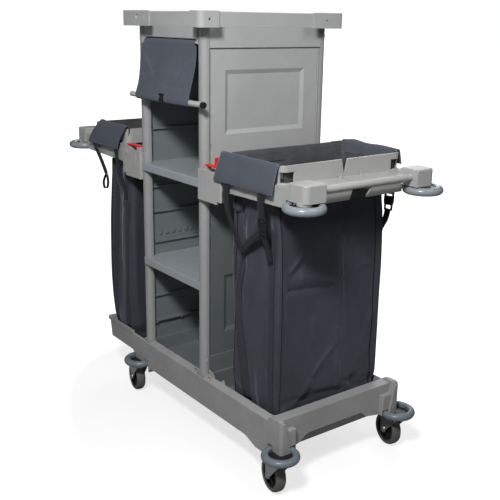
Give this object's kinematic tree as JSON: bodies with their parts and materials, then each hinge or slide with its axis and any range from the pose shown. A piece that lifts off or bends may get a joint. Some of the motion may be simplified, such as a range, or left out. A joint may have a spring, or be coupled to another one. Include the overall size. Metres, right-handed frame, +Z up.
{
  "type": "housekeeping cart",
  "caption": "Housekeeping cart: shelved cabinet on a castor base, a fold-down bag frame with a fabric laundry bag at each end, and a lift-up fabric cover.",
  "frame": {"origin": "on the floor, at the centre of the footprint, under the middle of the cabinet", "axes": "+X to the right end (the end with the fixed bag bay), -Y is the open shelf side, +Z up"},
  "size_m": [1.32, 0.555, 1.27],
  "materials": {
    "grey_moulding": "fine moulded texture",
    "bag_fabric": "dark blue-grey coated woven nylon",
    "bumper_grey": "satin blue-grey soft plastic",
    "handle_bumper_grey": "satin pale blue-grey soft plastic",
    "tread_grey": "non-marking grey tread",
    "black_plastic": "black moulded",
    "zinc": "bright zinc plate",
    "screw_steel": "dark zinc",
    "red_plastic": "red catch",
    "pale_rod": "pale grey powder coat"
  },
  "bodies": {
    "cart": {"base_moulding": "grey_moulding", "left_tray": "grey_moulding", "tray_bolts": "screw_steel", "base_bumper_hubs": "black_plastic", "front_left_post": "grey_moulding", "rear_left_post": "grey_moulding", "front_right_post": "grey_moulding", "rear_right_post": "grey_moulding", "right_side_panel": "grey_moulding", "left_side_panel": "grey_moulding", "side_fascias": "grey_moulding", "rear_panel": "grey_moulding", "upper_shelf": "grey_moulding", "lower_shelf": "grey_moulding", "top_front_rail": "grey_moulding", "top_tray": "grey_moulding", "top_corner_caps": "grey_moulding", "post_screws": "screw_steel", "right_brackets": "grey_moulding", "left_brackets": "grey_moulding", "right_hinge_pins": "screw_steel", "left_hinge_pins": "screw_steel", "right_bag": "bag_fabric", "left_bag": "bag_fabric", "cover_rail": "pale_rod"},
    "fork_front_right": {"castor_fork_front_right": "zinc"},
    "wheel_front_right": {"castor_core_front_right": "black_plastic", "castor_tread_front_right": "tread_grey"},
    "bumper_front_right": {"base_bumper_front_right": "bumper_grey"},
    "fork_rear_right": {"castor_fork_rear_right": "zinc"},
    "wheel_rear_right": {"castor_core_rear_right": "black_plastic", "castor_tread_rear_right": "tread_grey"},
    "bumper_rear_right": {"base_bumper_rear_right": "bumper_grey"},
    "fork_front_left": {"castor_fork_front_left": "zinc"},
    "wheel_front_left": {"castor_core_front_left": "black_plastic", "castor_tread_front_left": "tread_grey"},
    "bumper_front_left": {"base_bumper_front_left": "bumper_grey"},
    "fork_rear_left": {"castor_fork_rear_left": "zinc"},
    "wheel_rear_left": {"castor_core_rear_left": "black_plastic", "castor_tread_rear_left": "tread_grey"},
    "bumper_rear_left": {"base_bumper_rear_left": "bumper_grey"},
    "right_bag_frame": {"right_frame": "grey_moulding", "right_handle_bar": "grey_moulding", "right_bumper_hubs": "black_plastic"},
    "grip_bumper_front_right": {"handle_bumper_front_right": "handle_bumper_grey"},
    "right_front_latch": {"right_front_catch": "red_plastic"},
    "grip_bumper_rear_right": {"handle_bumper_rear_right": "handle_bumper_grey"},
    "right_rear_latch": {"right_rear_catch": "red_plastic"},
    "left_bag_frame": {"left_frame": "grey_moulding", "left_handle_bar": "grey_moulding", "left_bumper_hubs": "black_plastic"},
    "grip_bumper_front_left": {"handle_bumper_front_left": "handle_bumper_grey"},
    "left_front_latch": {"left_front_catch": "red_plastic"},
    "grip_bumper_rear_left": {"handle_bumper_rear_left": "handle_bumper_grey"},
    "left_rear_latch": {"left_rear_catch": "red_plastic"},
    "cover": {"cover_fabric": "bag_fabric", "cover_rod": "pale_rod", "cover_rod_caps": "black_plastic", "cover_clip": "black_plastic"}
  },
  "joints": [
    {"name": "swivel_front_right", "type": "hinge", "parent": "cart", "child": "fork_front_right", "pos_m": [0.558, -0.224, 0.106], "axis": [0, 0, 1], "continuous": true},
    {"name": "spin_front_right", "type": "hinge", "parent": "fork_front_right", "child": "wheel_front_right", "pos_m": [0.52255, -0.21775, 0.05], "axis": [0.1736, 0.9848, 0], "continuous": true},
    {"name": "turn_bumper_front_right", "type": "hinge", "parent": "cart", "child": "bumper_front_right", "pos_m": [0.558, -0.224, 0.123], "axis": [0, 0, 1], "continuous": true},
    {"name": "swivel_rear_right", "type": "hinge", "parent": "cart", "child": "fork_rear_right", "pos_m": [0.558, 0.224, 0.106], "axis": [0, 0, 1], "continuous": true},
    {"name": "spin_rear_right", "type": "hinge", "parent": "fork_rear_right", "child": "wheel_rear_right", "pos_m": [0.52255, 0.23025, 0.05], "axis": [0.1736, 0.9848, 0], "continuous": true},
    {"name": "turn_bumper_rear_right", "type": "hinge", "parent": "cart", "child": "bumper_rear_right", "pos_m": [0.558, 0.224, 0.123], "axis": [0, 0, 1], "continuous": true},
    {"name": "swivel_front_left", "type": "hinge", "parent": "cart", "child": "fork_front_left", "pos_m": [-0.213, -0.224, 0.106], "axis": [0, 0, 1], "continuous": true},
    {"name": "spin_front_left", "type": "hinge", "parent": "fork_front_left", "child": "wheel_front_left", "pos_m": [-0.24845, -0.21775, 0.05], "axis": [0.1736, 0.9848, 0], "continuous": true},
    {"name": "turn_bumper_front_left", "type": "hinge", "parent": "cart", "child": "bumper_front_left", "pos_m": [-0.213, -0.224, 0.123], "axis": [0, 0, 1], "continuous": true},
    {"name": "swivel_rear_left", "type": "hinge", "parent": "cart", "child": "fork_rear_left", "pos_m": [-0.213, 0.224, 0.106], "axis": [0, 0, 1], "continuous": true},
    {"name": "spin_rear_left", "type": "hinge", "parent": "fork_rear_left", "child": "wheel_rear_left", "pos_m": [-0.24845, 0.23025, 0.05], "axis": [0.1736, 0.9848, 0], "continuous": true},
    {"name": "turn_bumper_rear_left", "type": "hinge", "parent": "cart", "child": "bumper_rear_left", "pos_m": [-0.213, 0.224, 0.123], "axis": [0, 0, 1], "continuous": true},
    {"name": "right_frame_fold", "type": "hinge", "parent": "cart", "child": "right_bag_frame", "pos_m": [0.256, 0, 0.835], "axis": [0, 1, 0], "range_deg": [0, 90], "deforming": ["right_bag"]},
    {"name": "turn_handle_bumper_front_right", "type": "hinge", "parent": "right_bag_frame", "child": "grip_bumper_front_right", "pos_m": [0.605, -0.2105, 0.813], "axis": [0, 0, 1], "continuous": true},
    {"name": "right_front_latch_slide", "type": "slide", "parent": "cart", "child": "right_front_latch", "axis": [-1, 0, 0], "range_m": [0, 0.009]},
    {"name": "turn_handle_bumper_rear_right", "type": "hinge", "parent": "right_bag_frame", "child": "grip_bumper_rear_right", "pos_m": [0.605, 0.2105, 0.813], "axis": [0, 0, 1], "continuous": true},
    {"name": "right_rear_latch_slide", "type": "slide", "parent": "cart", "child": "right_rear_latch", "axis": [-1, 0, 0], "range_m": [0, 0.009]},
    {"name": "left_frame_fold", "type": "hinge", "parent": "cart", "child": "left_bag_frame", "pos_m": [-0.256, 0, 0.835], "axis": [0, -1, 0], "range_deg": [0, 90], "deforming": ["left_bag"]},
    {"name": "turn_handle_bumper_front_left", "type": "hinge", "parent": "left_bag_frame", "child": "grip_bumper_front_left", "pos_m": [-0.605, -0.2105, 0.813], "axis": [0, 0, 1], "continuous": true},
    {"name": "left_front_latch_slide", "type": "slide", "parent": "cart", "child": "left_front_latch", "axis": [1, 0, 0], "range_m": [0, 0.009]},
    {"name": "turn_handle_bumper_rear_left", "type": "hinge", "parent": "left_bag_frame", "child": "grip_bumper_rear_left", "pos_m": [-0.605, 0.2105, 0.813], "axis": [0, 0, 1], "continuous": true},
    {"name": "left_rear_latch_slide", "type": "slide", "parent": "cart", "child": "left_rear_latch", "axis": [1, 0, 0], "range_m": [0, 0.009]},
    {"name": "cover_lift", "type": "hinge", "parent": "cart", "child": "cover", "pos_m": [0, -0.216, 1.186], "axis": [-1, 0, 0], "range_deg": [0, 90]}
  ]
}
